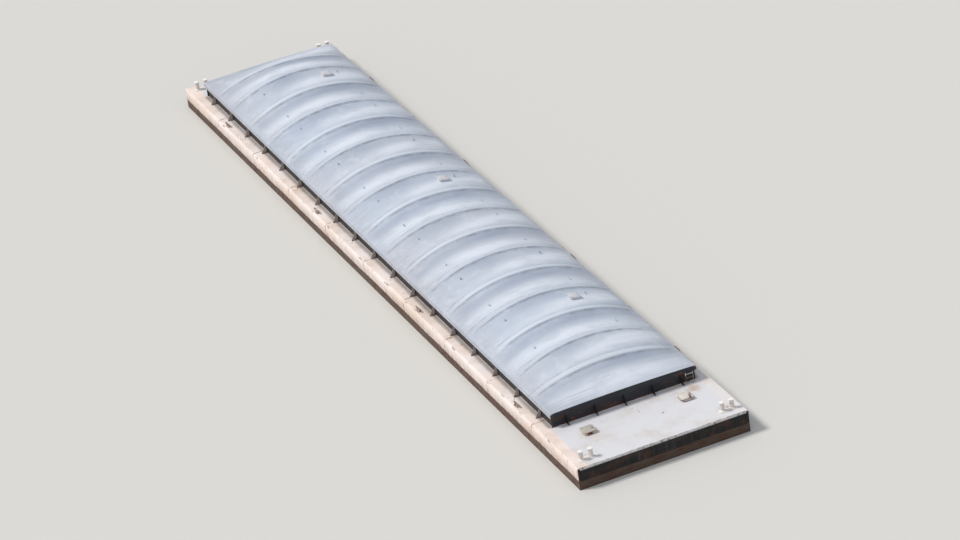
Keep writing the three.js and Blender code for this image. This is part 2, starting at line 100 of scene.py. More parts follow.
# A wire is one output of a shader node, and a sum or product of wires adds Math nodes. Its look is the
# dictionary of its finish's colours
class Wire:
    def __init__(self, tree, look, socket=None):
        self.tree, self.look, self.socket = tree, look, socket

    # a new node; an input is a wire, a value, a colour's name or a tuple of 0 to 255 numbers
    def node(self, kind, inputs, output=0, **settings):
        made = self.tree.nodes.new("ShaderNode" + kind)
        for name, value in settings.items():
            setattr(made, name, value)
        for place, value in inputs.items():
            value = self.look[value] if isinstance(value, str) else value
            if isinstance(value, Wire):
                self.tree.links.new(value.socket, made.inputs[place])
            else:
                made.inputs[place].default_value = paint(*value) if isinstance(value, tuple) else value
        return Wire(self.tree, self.look, made.outputs[output])

    def maths(self, operation, *values):
        return self.node("Math", dict(enumerate(values)), operation=operation)

    __add__ = __radd__ = joining("ADD")
    __mul__ = __rmul__ = joining("MULTIPLY")
    __sub__ = joining("SUBTRACT")
    __truediv__ = joining("DIVIDE")
    __pow__ = joining("POWER")
    upTo = joining("MINIMUM")
    orMore = joining("MAXIMUM")

    def __rsub__(self, other):
        return self.maths("SUBTRACT", other, self)

    def __abs__(self):
        return self.maths("ABSOLUTE", self)

    # 0 at the first value and 1 at the second, along a smooth curve
    def rise(self, first, second):
        inputs = {"Value": self, "From Min": first, "From Max": second}
        return self.node("MapRange", inputs, interpolation_type="SMOOTHSTEP")

    # 1 at every whole number of steps and 0 halfway between, as half a cosine
    def wave(self, step):
        return self.maths("COSINE", self * (2 * math.pi / step)) * 0.5 + 0.5

    # 1 on a thin line at every whole number of steps
    def lines(self, step, width):
        fromLine = abs(self.maths("FRACT", self / step) - 0.5)
        return fromLine.rise(0.5 - width / step, 0.5 - 0.3 * width / step)

    # the first colour where the mask is 0 and the second where it is 1
    def between(self, first, second):
        return self.node("Mix", {0: self, 6: first, 7: second}, 2, data_type="RGBA")

    # x, y and z of a vector, in the given unit
    def parts(self, unit=1.0):
        scaled = self.node("VectorMath", {0: self, "Scale": 1 / unit}, operation="SCALE")
        split = self.node("SeparateXYZ", {0: scaled}).socket.node
        return [Wire(self.tree, self.look, output) for output in split.outputs]

    # soft noise around 0.5, its spots that many metres across, on all axes or on x, y and z
    def spots(self, size, detail=3.0, shift=0.0):
        sizes = size if isinstance(size, tuple) else (size,) * 3
        inputs = {0: self, 1: [1 / size for size in sizes], 2: [shift] * 3}
        place = self.node("VectorMath", inputs, operation="MULTIPLY_ADD")
        inputs = {"Vector": place, "Scale": 1.0, "Detail": detail, "Roughness": 0.6}
        return self.node("TexNoise", inputs, "Fac")

    # a bump from a height in metres
    def relief(self):
        return self.node("Bump", {"Strength": 1.0, "Distance": 1.0, "Height": self}, "Normal")


# A colour with coats over it in turn, each one a mask and the colour it shows where the mask is 1
def coated(colour, *coats):
    for mask, coat in coats:
        colour = mask.between(colour, coat)
    return colour


# 1 between two places along the barge and 0 outside
def along(y, ends):
    return y.rise(ends[0], ends[0] + 1) * y.rise(ends[1], ends[1] - 1)


def newFinish(name, recipe, look, **options):
    finish = bpy.data.materials.new(name)
    finish.use_nodes = True
    tree = finish.node_tree
    tree.nodes.clear()
    start = Wire(tree, look)
    where, facing = start.node("TexCoord", {}, "Object"), start.node("TexCoord", {}, "Normal")
    shader = start.node("BsdfPrincipled", recipe(where, facing, **options))
    ending = tree.nodes.new("ShaderNodeOutputMaterial")
    tree.links.new(shader.socket, ending.inputs[0])
    return finish


hullLook = {
    "cream": (238, 227, 223), "peach": (232, 214, 203), "pale": (213, 213, 217), "dust": (190, 170, 150),
    "rust": (132, 72, 42), "darkRust": (74, 42, 30), "steel": (96, 88, 84), "tide": (80, 64, 53),
    "below": (74, 58, 50), "transom": (17, 14, 14), "hold": (104, 66, 48), "grime": (108, 98, 92),
    "splash": (172, 150, 134), "silt": (94, 80, 66), "tank": (18, 15, 14),
    "walkway": 15.2,    # from here out the side decks have a colour of their own
    "wetTop": 10.4,     # top of the dark wet and rusty band
    "plates": 20,       # between welded seams
    "strip": 7.25,      # between the bottom's long seams
    "seam": 0.328,      # width of a seam
    "frames": 2.05,     # between frames, seen as dents
    "dent": 0.0016,     # metres
    # stains on the decks: x, y and radius
    "stains": [(-10, -89, 2.6), (12.6, -86.4, 2.6), (-14.4, -97.2, 2.0), (14.2, -97, 2.2),
               (8.5, 96.5, 3.0), (-6, 95, 2.4)],
}


# The coated bottom: silt in patches, bare rust, and grey scrapes along the way she runs
def bottomColour(where):
    spots = where.spots
    plates, strip, seam = hullLook["plates"], hullLook["strip"], hullLook["seam"]
    x, y = where.parts(foot)[:2]
    silty = spots((0.6, 1.2, 0.35), 7, shift=6).rise(0.4, 0.68)
    scraped = spots((0.09, 2.6, 0.3), 4, shift=15).rise(0.58, 0.7)
    scraped = scraped * spots(1.7, shift=2).rise(0.4, 0.6) * 0.5
    seams = (y.lines(plates, seam) * abs(y).rise(99, 98)).orMore(x.lines(strip, seam))
    bare = spots((0.3, 0.7, 0.3), 7, shift=19).rise(0.58, 0.7).orMore(seams * 0.7)
    return coated(silty.between("below", "silt"),
                  (scraped, "grime"), (bare * 0.75, "darkRust"))


def hullRecipe(where, facing):
    spots = where.spots
    look = hullLook
    x, y, z = where.parts(foot)
    nx, ny, nz = facing.parts()
    top = nz.rise(0.55, 0.9)
    end = abs(ny).rise(0.6, 0.85) * abs(y).rise(99.55, 99.75) * z.rise(12.9, 12.75)
    hold = (x * nx).rise(-3.28, -6.56).orMore((y * ny).rise(-3.28, -6.56))
    side = (1 - top) * (1 - end) * (1 - hold)
    broad, fine = spots(2.2, 4), spots(0.16, 5)

    # a pale deck between cream and peach side decks, with grime and painted shade beside the coaming
    mottled = broad.rise(0.4, 0.62).between("cream", "peach")
    aside = abs(x) + (fine - 0.5) * 0.394
    strip = aside.rise(look["walkway"] - 0.2, look["walkway"] + 0.2) * (x.rise(3.28, -3.28) * 0.7 + 0.3)
    coamingFootGrimeAndShade = aside.rise(14.4, 14.6) * aside.rise(15.9, 15.1) * along(y, barge["hopper"])

    # dust and stains that lie on the decks
    dusty = spots(0.8, 6).rise(0.42, 0.74) * 0.45
    cloudy = spots(0.3, shift=3).rise(0.3, 0.6) * 0.9
    for stainX, stainY, radius in look["stains"]:
        away = ((x - stainX) ** 2 + (y - stainY) ** 2) ** 0.5
        dusty = dusty.orMore(away.rise(radius, 0.1 * radius) * cloudy)

    # rust runs down the sides from the deck's edge, and rubbed bands lie along them
    runs = spots((1.0, 0.05, 0.7), 4).rise(0.56, 0.74) * spots(1.6, shift=7).rise(0.45, 0.65)
    runs = runs * z.rise(8.2, 12.4) * side
    rubbed = spots((0.5, 1.1, 0.02)).rise(0.6, 0.7) * side * spots(1.3, shift=4).rise(0.45, 0.6)
    edge = abs(x).rise(17.0, 17.4) * z.rise(12.6, 12.95) * spots((0.11, 0.5, 0.11), 5).rise(0.56, 0.64)
    pits = spots(0.2, 8, shift=11).rise(0.65, 0.72) * (top * 0.8 + side * 0.5)
    seam = y.lines(look["plates"], look["seam"]) * 0.5 * (top + side)
    rusty = (pits * 0.8).orMore(edge * 0.85).orMore(seam * fine.rise(0.35, 0.6)).orMore(strip * top * runs)

    # dark ends, splash dirt and painted shade low on the sides, and a wet brown band over the waterline
    scarred = spots((0.9, 0.9, 0.08), 5).rise(0.6, 0.74)
    swash, ragged = spots((1.5, 1.5, 0.3), 6), spots((0.14, 0.14, 0.06), 8)
    wet = z - (swash - 0.5) * 0.59 - (ragged - 0.5) * 0.328
    lowSideSplashAndShade = wet.rise(12.7, 10.5) * side * (spots((0.25, 0.12, 0.5), 5).rise(0.3, 0.7) * 0.6 + 0.25)
    band = wet.rise(look["wetTop"] + 0.052, look["wetTop"] - 0.079) * (1 - top) * (1 - hold)
    soaked = spots((0.5, 0.25, 0.12), 6).rise(0.42, 0.66).between("tide", "darkRust")
    below = z.rise(barge["waterline"] + 0.131, barge["waterline"] - 0.066) * (1 - hold)

    # the tanks' dark insides under the open deck hatches, as painted shade: near-black squares on the solid
    # deck
    hatchX, (sternHatchY, bowHatchY) = barge["hatchX"], barge["hatchY"]
    inside = abs(abs(x) - hatchX).orMore(abs(y - sternHatchY).upTo(abs(y - bowHatchY))).rise(1.04, 1.0) * top

    dents = y.wave(look["frames"]) * (1 - top * 0.5) * spots(1.2, shift=5).rise(0.3, 0.7)
    height = dents * look["dent"] + seam * 0.002 + broad * 0.004 + fine * rusty * 0.0012 + fine * 0.0003
    return {
        "Base Color": coated(
            top.between(mottled, strip.between("pale", mottled)),
            (dusty * top, "dust"),
            # grime and painted shade beside the coaming
            (coamingFootGrimeAndShade * top * (broad * 0.6 + 0.3), "grime"),
            (runs * 0.55, "rust"),
            (rubbed * 0.5, "steel"),
            (rusty, fine.rise(0.4, 0.6).between("rust", "darkRust")),
            (end * (1 - hold) * (1 - top), (scarred * 0.3).between("transom", "darkRust")),
            (hold * (1 - top), broad.between("hold", "darkRust")),
            # splash dirt and painted shade low on the sides
            (lowSideSplashAndShade, "splash"),
            (band * (0.86 + fine * 0.2).upTo(1), soaked),
            (below, bottomColour(where)),
            # painted shade in the openings under the deck hatches
            (inside, "tank")),
        "Roughness": (0.62 + fine * 0.16 + rusty * 0.12 - rubbed * 0.2).upTo(0.95),
        "Metallic": rubbed * 0.45,
        "Normal": height.relief(),
    }


coamingLook = {
    "black": (21, 26, 33), "worn": (37, 41, 48), "rust": (92, 54, 38), "steel": (112, 106, 100),
    # side: the side plates painted lighter than the black ends, as painted light
    "side": (48, 46, 48), "stay": (176, 164, 158),
    "stays": (-83.4, 92.8),  # ends of the rows of stays
    "rim": 15.75,
}


def coamingRecipe(where, facing):
    spots = where.spots
    look = coamingLook
    x, y, z = where.parts(foot)
    fine = spots(0.09, 6)
    stay = abs(x).rise(14.64, 14.7) * z.rise(15.3, 15.2) * along(y, look["stays"])
    low = z.rise(barge["deck"] + 0.7, barge["deck"])
    runs = spots((0.8, 0.05, 0.5), 4).rise(0.56, 0.7) * 0.6
    pits = spots(0.3, 8, shift=4).rise(0.62, 0.7)
    rusty = (low * fine.rise(0.42, 0.6) * 0.8).orMore(runs).orMore(pits)
    upward = facing.parts()[2].rise(0.8, 0.95)
    scuffed = upward * z.rise(look["rim"] - 0.1, look["rim"]) * fine.rise(0.4, 0.6)
    return {
        "Base Color": coated(
            spots(0.8, 5).rise(0.4, 0.65).between("black", "worn"),
            # painted light: the side plates a lighter grey than the black end plates
            (abs(x).rise(14.4, 14.55) * 0.8, "side"),
            (stay * (fine * 0.4 + 0.7).upTo(1), "stay"),
            (rusty, "rust"),
            (scuffed * 0.7, "steel")),
        "Roughness": (0.5 + fine * 0.2 + rusty * 0.25).upTo(0.92),
        "Metallic": scuffed * 0.6,
        "Normal": (fine * rusty * 0.001 + spots(0.5) * 0.002).relief(),
    }


headlogLook = {
    "black": (17, 15, 15), "rust": (84, 47, 32), "steel": (104, 99, 94),
    "pressed": (11.7, 5.4),  # from the middle out, where it starts and ends to be rubbed barer
    "lip": 12.45,            # where the deck's paint comes down over the edge
}


def headlogRecipe(where, facing):
    spots = where.spots
    look = headlogLook
    x, _, z = where.parts(foot)
    fine = spots(0.1, 6)
    upright = spots((0.03, 0.5, 0.35), 4).rise(0.55, 0.7)
    level = spots((1.1, 0.5, 0.03), 4, shift=6).rise(0.55, 0.7)
    bare = upright.orMore(level) * (0.25 + abs(x).rise(*look["pressed"]) * 0.75)
    lip = z.rise(look["lip"], look["lip"] + 0.2) * spots(0.12, 6, shift=9).rise(0.28, 0.5)
    return {
        "Base Color": coated(
            (spots(0.4, 7).rise(0.48, 0.7) * 0.55).between("black", "rust"),
            (bare * 0.5, "steel"),
            (lip * 0.85, hullLook["pale"])),
        "Roughness": (0.72 + fine * 0.15 - bare * 0.3).upTo(0.92),
        "Metallic": bare * 0.7,
        "Normal": (fine * 0.0008 - bare * 0.0012).relief(),
    }


holdLook = {**hullLook, "rust": (110, 68, 48), "dark": (64, 44, 36), "grain": (176, 156, 124)}


def holdRecipe(where, facing):
    nz = facing.parts()[2]
    fine = where.spots(0.12, 6)
    swept = where.spots((1.8, 3.0, 1.0), 6, shift=2).rise(0.5, 0.72) * nz.rise(0.5, 0.9)
    dents = where.parts(foot)[1].wave(hullLook["frames"])
    return {
        "Base Color": coated(
            where.spots(1.3, 5).rise(0.35, 0.65).between("rust", "dark"),
            (swept * 0.6, "grain"),
            (nz.rise(-0.2, -0.7), bottomColour(where))),
        "Roughness": 0.7 + fine * 0.2,
        "Normal": (fine * 0.0008 + dents * 0.001).relief(),
    }


coverLook = {
    # shade and pale are the painted shade and painted highlight beside the ribs
    "gel": (182, 191, 205), "blue": (169, 179, 195), "warm": (181, 182, 190), "chalk": (203, 210, 221),
    "pale": (211, 217, 227), "shade": (150, 160, 177), "dust": (154, 150, 150), "grime": (98, 102, 112),
    "underside": (172, 170, 162), "rust": (138, 92, 66),
    "crown": 20.0, "edge": 16.1,
}


def coverRecipe(where, facing):
    spots = where.spots
    look = coverLook
    x, _, z = where.parts(foot)
    nx, ny, nz = facing.parts()
    rib, root, paintedRibShade, paintedRibHighlight, age = [where.node("Attribute", {}, "Fac", attribute_name=mark)
                                   for mark in ("rib", "root", "paintedRibShade", "paintedRibHighlight", "age")]
    fine, broad = spots(0.14, 6), spots(1.5, 4)
    chalky = spots(0.5, 5, shift=9).rise(0.5, 0.75)
    uneven = spots((0.9, 0.5, 0.9), 5, shift=13).rise(0.25, 0.6) * 0.6 + 0.4
    speck = where.node("TexVoronoi", {"Vector": where, "Scale": 2.2}, "Distance").rise(0.05, 0.03)

    # dust washed down the arch in thin lines, thicker near the edges, and grime with painted shade at the
    # foot of each rib
    washed = spots((1.6, 0.055, 1.6), 4).rise(0.5, 0.72) * spots(1.0, shift=3).rise(0.36, 0.62)
    washed = washed * (0.25 + 0.75 * z.rise(look["crown"], look["edge"]))
    ribFootGrimeAndShade = root * spots((0.3, 0.1, 0.3), 5, shift=5).rise(0.34, 0.66)

    # the upright skirt: splashes low down, and rust that runs from its bolts
    skirt = abs(nx).rise(0.75, 0.95).orMore(abs(ny).rise(0.75, 0.95)) * (1 - nz.rise(0.3, 0.5))
    splash = z.rise(15.7, 15.15) * fine.rise(0.3, 0.6)
    drips = spots((0.5, 0.035, 0.3), shift=8).rise(0.62, 0.75)
    return {
        "Base Color": coated(
            broad.rise(0.38, 0.64).between("gel", "blue"),
            (age * 0.65, "warm"),
            (chalky * 0.6, "chalk"),
            # painted shade on the ribs' stern sides and painted highlight on their bow sides
            ((paintedRibShade * uneven * 0.85).upTo(1), "shade"),
            ((paintedRibHighlight * uneven * 0.75).upTo(1), "pale"),
            # the rib tops made chalk-pale: chalking and painted highlight
            (rib * 0.85, "chalk"),
            (abs(x).rise(9.5, 14.5) * fine.rise(0.2, 0.7) * 0.3, "dust"),
            (washed * 0.5, "dust"),
            # grime and painted shade at the foot of each rib
            (ribFootGrimeAndShade * 0.5, "grime"),
            (skirt * splash * 0.6, "dust"),
            (skirt * drips * 0.6, "rust"),
            (speck * 0.7, "chalk"),
            (nz.rise(-0.2, -0.6), "underside")),
        "Roughness": (0.46 + fine * 0.16 + washed * 0.2 + ribFootGrimeAndShade * 0.2).upTo(0.9),
        "Normal": (broad * 0.004 + fine * 0.0003 + spots(0.012, 2) * 0.00015).relief(),
    }


fittingLook = {
    "paint": (214, 202, 194), "pale": (236, 231, 227), "rust": (124, 72, 46), "dark": (66, 42, 32),
    "steel": (138, 128, 120),
    "rubbed": (13.5, 14.6),  # a band worn bare by use
}


def fittingRecipe(where, facing, wear=0.5, base="paint", rubbing=1.0):
    look = fittingLook
    z = where.parts(foot)[2]
    fine = where.spots(0.035, 5)
    low, high = look["rubbed"]
    band = z.rise(low - 0.3, low) * z.rise(high + 0.3, high)
    worn = where.spots(0.16, 7).rise(0.62 - 0.3 * wear, 0.78 - 0.3 * wear)
    worn = worn.orMore(band * fine.rise(0.36, 0.52) * (0.9 * rubbing))
    worn = worn.orMore(z.rise(barge["deck"] + 0.2, barge["deck"]) * (0.8 * rubbing))
    bare = band * where.spots((0.1, 0.1, 0.02)).rise(0.5, 0.64) * rubbing
    return {
        "Base Color": coated(
            worn.between(base, fine.rise(0.4, 0.6).between("rust", "dark")),
            (bare * 0.6, "steel")),
        "Roughness": (0.55 + worn * 0.3 - bare * 0.2).upTo(0.92),
        "Metallic": bare * 0.7,
        "Normal": (worn * fine * 0.0006).relief(),
    }


lidLook = {"pale": (216, 212, 206), "olive": (174, 172, 166), "rust": (122, 66, 42), "dark": (78, 46, 34)}


def lidRecipe(where, facing, rusted=0.3, base="pale"):
    fine = where.spots(0.03, 6)
    bloom = where.spots(0.22, 7).rise(0.72 - 0.5 * rusted, 0.86 - 0.5 * rusted)
    return {
        "Base Color": coated(
            (where.spots(0.4, 5) * 0.5).between(base, hullLook["dust"]),
            (bloom, fine.rise(0.4, 0.62).between("rust", "dark"))),
        "Roughness": (0.58 + bloom * 0.3).upTo(0.92),
        "Normal": (bloom * fine * 0.0008).relief(),
    }


finishes = {
    "hull": newFinish("creamHullPaint", hullRecipe, hullLook),
    "coaming": newFinish("blackCoamingPaint", coamingRecipe, coamingLook),
    "headlog": newFinish("scrapedHeadlogPaint", headlogRecipe, headlogLook),
    "hold": newFinish("rustyHold", holdRecipe, holdLook),
    "cover": newFinish("chalkyFibreglass", coverRecipe, coverLook),
    "fitting": newFinish("wornFittingPaint", fittingRecipe, fittingLook),
    "post": newFinish("palePostPaint", fittingRecipe, fittingLook, wear=0.18, base="pale", rubbing=0.35),
    "lug": newFinish("paleLugPaint", fittingRecipe, fittingLook, wear=0.35, base=coverLook["gel"]),
    "lid": newFinish("paleLidPaint", lidRecipe, lidLook),
    "rustyLid": newFinish("rustyLidPaint", lidRecipe, lidLook, rusted=0.34, base="olive"),
    "coverLid": newFinish("coverLidPaint", lidRecipe, lidLook, rusted=0.1, base=coverLook["chalk"]),
}
print("finishes made:", len(finishes))

# Mesh helpers. A shape is its points, the corners of all faces in one row, and each face's corner count


# Numbers and arrays side by side, as the coordinates of points
def beside(*parts):
    return np.stack(np.broadcast_arrays(*parts), -1)


# Turns every face over if the skin encloses less than nothing, by summing a . (b x c) over its triangles
def facedOut(shape):
    points, corners, sizes = shape
    first = np.repeat(np.cumsum(sizes) - sizes, sizes)
    last = first + np.repeat(sizes, sizes) - 1
    here = np.arange(len(corners))
    middle = here[(here > first) & (here < last)]
    a, b, c = points[corners[first[middle]]], points[corners[middle]], points[corners[middle + 1]]
    if np.einsum("ij,ij->", a - points[0], np.cross(b - points[0], c - points[0])) < 0:
        corners = corners[first + last - here]
    return points, corners, sizes


# A skin over rows of closed outlines, with flat caps unless the last row joins the first
def gridShape(points, closeRows=False):
    rows, columns = points.shape[:2]
    index = np.arange(rows * columns).reshape(rows, columns)
    full = np.pad(index, ((0, int(closeRows)), (0, 1)), "wrap")
    quads = np.stack([full[:-1, :-1], full[1:, :-1], full[1:, 1:], full[:-1, 1:]], -1)
    caps = [] if closeRows else [index[0], index[-1][::-1]]
    corners = np.concatenate([quads.ravel(), *caps])
    sizes = np.repeat([4, columns], [quads.size // 4, len(caps)])
    return facedOut((points.reshape(-1, 3), corners, sizes))


def together(shapes):
    points, corners, sizes = zip(*shapes)
    starts = np.cumsum([0] + [len(part) for part in points])
    corners = [part + start for part, start in zip(corners, starts)]
    return np.vstack(points), np.concatenate(corners), np.concatenate(sizes)


# One shape repeated at many places
def copiesAt(shape, places):
    points, corners, sizes = shape
    places = np.array(places, float)
    starts = np.arange(len(places))[:, None] * len(points)
    return (places[:, None] + points).reshape(-1, 3), (starts + corners).ravel(), np.tile(sizes, len(places))


def moved(shape, offset):
    return copiesAt(shape, [offset])


# Turned about one of the axes through the origin, anticlockwise seen from that axis's end
def turned(shape, degrees, axis="z"):
    first, second = {"x": (1, 2), "y": (2, 0), "z": (0, 1)}[axis]
    points = shape[0].copy()
    flat = (points[:, first] + 1j * points[:, second]) * np.exp(1j * np.radians(degrees))
    points[:, first], points[:, second] = flat.real, flat.imag
    return points, shape[1], shape[2]


def circle(radius, sides):
    angle = np.linspace(0, 2 * np.pi, sides, endpoint=False)
    return radius * beside(np.cos(angle), np.sin(angle))


# Four quarter circles joined by straight sides
def roundedRectangle(halfX, halfY, radius):
    angle = np.radians(np.arange(4)[:, None] * 90 + np.linspace(0, 90, 4))
    corner = np.array([[1, 1], [-1, 1], [-1, -1], [1, -1]])[:, None] * [halfX - radius, halfY - radius]
    return (corner + radius * beside(np.cos(angle), np.sin(angle))).reshape(-1, 2)


# Flat outlines one above another, each with its height
def layeredShape(layers, closeRows=False):
    rows = [np.pad(outline, ((0, 0), (0, 1)), constant_values=height) for outline, height in layers]
    return gridShape(np.stack(rows), closeRows)


# A profile of radius and height turned round the upright: radius times cosine and sine of the angle
def latheShape(profile, sides):
    return layeredShape([(circle(radius, sides), height) for radius, height in profile])


# Rounded rectangles one above another, as rows of half width, half length, corner radius and height
def stackShape(rows, closeRows=False):
    return layeredShape([(roundedRectangle(*row[:3]), row[3]) for row in rows], closeRows)


# A plate with rounded corners and a rounded upper edge
def plateShape(halfX, halfY, corner, bottom, top, edge):
    turn = np.radians([0, 30, 60, 90])
    rows = [(halfX - edge * (1 - c), halfY - edge * (1 - c), corner, top - edge * (1 - s))
            for c, s in zip(np.cos(turn), np.sin(turn))]
    return stackShape([(halfX, halfY, corner, bottom)] + rows)


# An outline carried along a path: each path point plus the outline's two numbers times the path's side
# and upper directions, which come from cross products of its direction with a fixed upright
def carriedShape(outline, path, upright=(0, 0, 1)):
    path = np.array(path, float)
    ahead = np.gradient(path, axis=0)
    ahead /= np.linalg.norm(ahead, axis=1, keepdims=True)
    aside = np.cross(ahead, upright)
    aside /= np.linalg.norm(aside, axis=1, keepdims=True)
    above = np.cross(aside, ahead)
    across, up = outline[:, :1], outline[:, 1:]
    return gridShape(path[:, None] + across * aside[:, None] + up * above[:, None])


# Makes the mesh in metres from a shape in feet; marks are numbers at its points that a finish reads
def newPiece(name, shape, finish, body="barge", replaces=(), bevel=0.0, sharp=35,
             marks=None):
    points, corners, sizes = shape
    mesh = bpy.data.meshes.new(name)
    mesh.vertices.add(len(points))
    mesh.vertices.foreach_set("co", (points * foot).astype(np.float32).ravel())
    mesh.loops.add(len(corners))
    mesh.loops.foreach_set("vertex_index", corners.astype(np.int32))
    mesh.polygons.add(len(sizes))
    mesh.polygons.foreach_set("loop_start", (np.cumsum(sizes) - sizes).astype(np.int32))
    mesh.update(calc_edges=True)
    mesh.shade_smooth()
    mesh.set_sharp_from_angle(angle=math.radians(sharp))
    for mark, values in (marks or {}).items():
        written = mesh.attributes.new(mark, "FLOAT", "POINT")
        written.data.foreach_set("value", values.astype(np.float32).ravel())
    mesh.materials.append(finishes[finish])
    piece = placed(name, mesh)
    if bevel:
        rounding = piece.modifiers.new("rounding", "BEVEL")
        rounding.width, rounding.segments = bevel, 2
        rounding.limit_method, rounding.angle_limit = "ANGLE", math.radians(50)
    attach(piece, body)
    if replaces:
        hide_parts(*replaces)


cover = {
    "count": 9, "endLength": 16.4, "gap": 0.006 / foot,
    "halfWidth": 15.0, "rise": 4.0, "endRise": 0.25,
    "rim": 15.75, "seat": 15.75 + barge["standOff"], "edge": 16.11,  # heights where the arch sits and starts
    "edgeRound": 0.2,
    "shell": 0.2, "skirtDrop": 0.6, "skirt": 1.4 / 12, "rail": 0.6, "hem": 0.07,
    "ribHeight": 0.34, "ribWidth": 0.9, "ribSlope": 0.4, "ribPitch": 10.33, "sag": 0.12,
    "flangeHeight": 0.28, "flangeWidth": 0.42, "flangeSlope": 0.3, "flangeRound": 0.07,
    "rootWidth": 0.156, "waviness": 0.02,
    "outerLines": 57, "innerLines": 25,  # points across the arch
    "age": [0.5, 0.1, 0.35, 0.75, 0.2, 0.6, 0.05, 0.45, 0.8],
}
coverHatch = {
    "covers": [2, 5, 8],
    "x": 5.6, "fromBowEnd": 4.6,
    "half": 1.0, "wall": 1 / 12, "height": 4 / 12, "sunk": 4 / 12, "lip": 0.0, "edge": 0.02,
    "lidOverlap": 1.2 / 12, "lidThickness": 1.2 / 12, "barrel": 1 / 12, "spread": 0.6,
}
arcRadius = (cover["halfWidth"] ** 2 + cover["rise"] ** 2) / (2 * cover["rise"])
hatchTilt = math.degrees(math.asin(coverHatch["x"] / arcRadius))
hatchCut = coverHatch["half"] - coverHatch["wall"] / 2


# Height of the arch over x as a share of its rise: a circle through both edges and the crown
def crownShare(x):
    return (np.sqrt(arcRadius ** 2 - x ** 2) - (arcRadius - cover["rise"])) / cover["rise"]


def archTop(x):
    return cover["edge"] + cover["rise"] * crownShare(x)


# 1 up to the flat length and then down to 0 over the slope, as 3t^2 - 2t^3
def plateau(away, flat, slope):
    t = np.clip((away - flat) / slope, 0, 1)
    return 1 - t * t * (3 - 2 * t)


# A bell curve, 1 at zero and 0.6 at its width
def bump(away, width=1.5):
    return np.exp(-0.5 * (away / width) ** 2)


# Drop of a quarter circle of that radius in the last stretch before an edge
def roundOff(fromEdge, radius):
    inside = np.clip(radius - fromEdge, 0, radius)
    return radius - np.sqrt(radius ** 2 - inside ** 2)


# Lines with those near a stretch taken out and the stretch's own even ones put in
def withStretch(lines, low, high, count, margin):
    kept = lines[(lines < low - margin) | (lines > high + margin)]
    return np.concatenate([kept, np.linspace(low, high, count)])


# Even angles across the arch, with the hatch's lines in place of those near it
def linesAcross(half, count, hole):
    lines = arcRadius * np.sin(np.linspace(-1, 1, count) * math.asin(half / arcRadius))
    return np.sort(withStretch(lines, *hole, 5, 0.12) if hole else lines)


# A stretch of a cover's outline: x, base height, share of the arch's rise, fade of the ribs, least height
def stretch(x, base, share=0, fade=0, least=-100):
    return beside(x, base, share, fade, least).astype(float)


